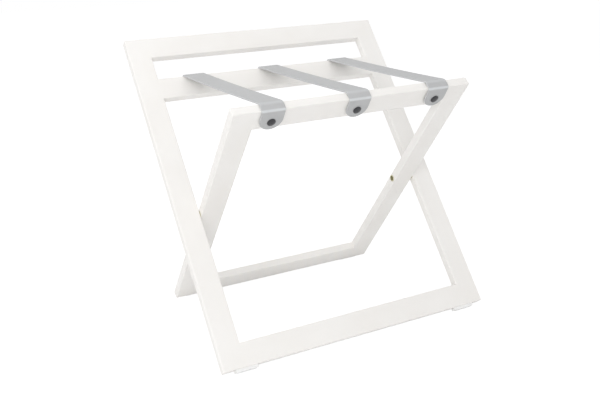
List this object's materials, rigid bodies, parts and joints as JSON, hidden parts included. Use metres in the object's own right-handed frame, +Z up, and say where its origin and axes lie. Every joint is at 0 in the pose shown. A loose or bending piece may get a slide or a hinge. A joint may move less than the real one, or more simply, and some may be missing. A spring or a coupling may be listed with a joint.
{
  "type": "folding hotel luggage bench",
  "caption": "Folding wooden luggage bench: two crossed frames joined by a pivot on each side, strap seat, and a raised backrest.",
  "frame": {"origin": "on the floor, in the middle of the open bench's outline", "axes": "+X to the right across the bench, +Y to the back where the backrest is, +Z up"},
  "size_m": [0.6, 0.4562, 0.579],
  "materials": {
    "painted_wood": "satin white lacquer",
    "bare_beech": "unfinished",
    "glide_plastic": "matte",
    "bronzed_steel": "antique bronze plated",
    "brass": "satin",
    "strap_leather": "smooth grey, matte",
    "screw_steel": "zinc plated",
    "cap_plastic": "black, semi-gloss"
  },
  "bodies": {
    "outer_frame": {"outer_left_stile": "painted_wood", "outer_right_stile": "painted_wood", "outer_foot_rail": "painted_wood", "strap_rail": "painted_wood", "backrest_rail": "painted_wood", "outer_dowels": "bare_beech", "outer_glide_left": "glide_plastic", "outer_glide_right": "glide_plastic", "pivot_bolt_left": "bronzed_steel", "pivot_bolt_right": "bronzed_steel", "pivot_washer_left": "brass", "pivot_washer_right": "brass", "pivot_insert_left": "brass", "pivot_insert_right": "brass", "strap_left": "strap_leather", "strap_middle": "strap_leather", "strap_right": "strap_leather", "rear_strap_screws": "screw_steel", "rear_strap_caps": "cap_plastic"},
    "inner_frame": {"inner_left_stile": "painted_wood", "inner_right_stile": "painted_wood", "inner_foot_rail": "painted_wood", "seat_rail": "painted_wood", "inner_dowels": "bare_beech", "inner_glide_left": "glide_plastic", "inner_glide_right": "glide_plastic", "pivot_bushing_left": "brass", "pivot_bushing_right": "brass", "front_strap_screws": "screw_steel", "front_strap_caps": "cap_plastic"}
  },
  "joints": [
    {"name": "fold", "type": "hinge", "parent": "outer_frame", "child": "inner_frame", "pos_m": [0, -0.02472, 0.25419], "axis": [-1, 0, 0], "range_deg": [0, 71.5], "deforming": ["strap_left", "strap_middle", "strap_right"]}
  ]
}
